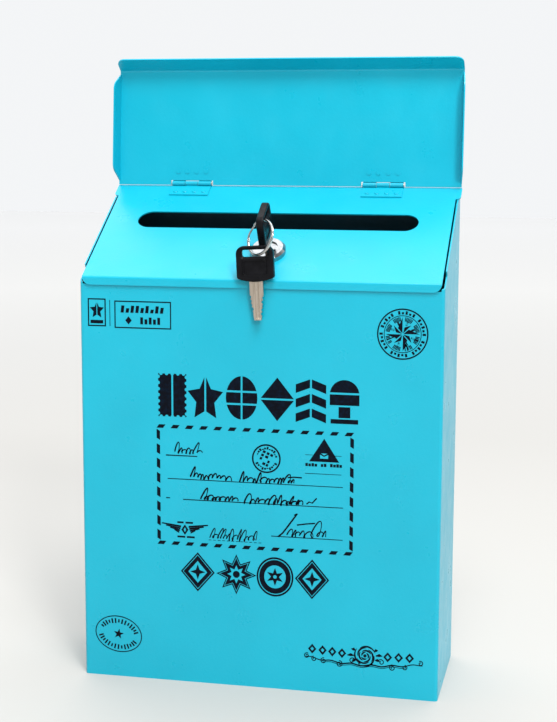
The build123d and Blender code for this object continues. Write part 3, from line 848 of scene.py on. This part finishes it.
# ---- room ----
def floor_painted_light():
    """Matt floor material with painted light: darker near the box, where the lamps fall strongest, and
    lighter with distance, where their light falls off, so that it meets the bright room without a line.
    """
    material, tree, shader, coord = new_material("floor_painted_light")
    painted_falloff = tree.nodes.new("ShaderNodeTexGradient")
    painted_falloff.gradient_type = "SPHERICAL"
    reach = tree.nodes.new("ShaderNodeMapping")
    reach.inputs["Scale"].default_value = (0.2, 0.2, 0.2)
    tree.links.new(coord.outputs["Object"], reach.inputs["Vector"])
    tree.links.new(reach.outputs["Vector"], painted_falloff.inputs["Vector"])
    # Painted light: dark in the middle under the lamps, lighter far off where their light falls off.
    painted_light_tones = [(0.0, (0.668, 0.664, 0.66)), (0.5, (0.60, 0.594, 0.58))]
    painted_light_tones += [(0.7, (0.50, 0.494, 0.48)), (0.85, (0.44, 0.43, 0.41))]
    tree.links.new(ramp(tree, painted_falloff.outputs["Fac"], painted_light_tones), shader.inputs["Base Color"])
    shader.inputs["Roughness"].default_value = 0.7
    return material


def floor():
    """Pale floor, with light and shade painted into its colour."""
    bm = bmesh.new()
    bmesh.ops.create_grid(bm, x_segments=1, y_segments=1, size=6.0)
    mesh = bpy.data.meshes.new("floor")
    bm.to_mesh(mesh)
    bm.free()
    mesh.materials.append(floor_painted_light())
    piece = bpy.data.objects.new("floor", mesh)
    bpy.context.scene.collection.objects.link(piece)


def area_light(name, place, target, size, power, colour):
    """A rectangular lamp at a place, aimed at a target, in metres and watts."""
    data = bpy.data.lights.new(name, "AREA")
    data.shape = "RECTANGLE"
    data.size, data.size_y = size
    data.energy = power
    data.color = colour
    light = bpy.data.objects.new(name, data)
    light.location = place
    light.rotation_mode = "QUATERNION"
    light.rotation_quaternion = (Vector(target) - Vector(place)).to_track_quat("-Z", "Y")
    bpy.context.scene.collection.objects.link(light)


def room_glow():
    """White room: brightest overhead and behind, dimmer in front, to the sides and below."""
    world = bpy.data.worlds.new("room")
    world.use_nodes = True
    tree = world.node_tree
    background = tree.nodes["Background"]
    background.inputs["Color"].default_value = (0.97, 0.985, 1.0, 1.0)
    coord = tree.nodes.new("ShaderNodeTexCoord")
    split = tree.nodes.new("ShaderNodeSeparateXYZ")
    tree.links.new(coord.outputs["Generated"], split.inputs["Vector"])
    product = tree.nodes.new("ShaderNodeMath")
    product.operation = "MULTIPLY"
    depth = span(tree, split.outputs["Y"], 0.32, 0.93, -0.2, 0.8)
    height = span(tree, split.outputs["Z"], 1.0, 4.4, 0.45, 1.0)
    for place, factor in enumerate((depth, height)):
        factor.node.interpolation_type = "SMOOTHSTEP"
        tree.links.new(factor, product.inputs[place])
    tree.links.new(product.outputs["Value"], background.inputs["Strength"])
    bpy.context.scene.world = world


def lights():
    """Soft key from the upper right front, and a large soft light from above the front."""
    target = (0.0, 0.0, 0.15)
    area_light("key", (2.0, -3.4, 2.7), target, (0.7, 0.7), 92.0, (1.0, 0.99, 0.97))
    area_light("top", (0.55, -1.3, 2.9), target, (1.3, 1.1), 84.0, (1.0, 1.0, 1.0))


def camera():
    """Camera at the height and angle of the reference view."""
    data = bpy.data.cameras.new("camera")
    data.sensor_width = 36.0
    data.lens = 73.33
    data.shift_x, data.shift_y = -0.0004, -0.0038
    eye = bpy.data.objects.new("camera", data)
    azimuth, fall = math.radians(CAMERA_AZIMUTH), math.radians(CAMERA_FALL)
    level_run = math.cos(fall)
    forward = Vector((-math.sin(azimuth) * level_run, math.cos(azimuth) * level_run, -math.sin(fall)))
    eye.location = CAMERA_PLACE
    eye.rotation_mode = "QUATERNION"
    level = forward.to_track_quat("-Z", "Y")
    eye.rotation_quaternion = level @ Quaternion((0, 0, 1), math.radians(CAMERA_ROLL))
    bpy.context.scene.collection.objects.link(eye)
    bpy.context.scene.camera = eye


camera()
bpy.context.scene.view_settings.view_transform = "Standard"
paint_nodes()
# Painted shade on the faces inside the box.
paint_shade_inside()
print_corner_labels()
print_round_stamp()
print_stencil_row()
print_airmail_border()
print_address()
print_postmark()
print_triangle()
print_wings()
print_inline_row()
print_oval_stamp()
print_flourish()
key_blades()
key_ring()
floor()
room_glow()
lights()
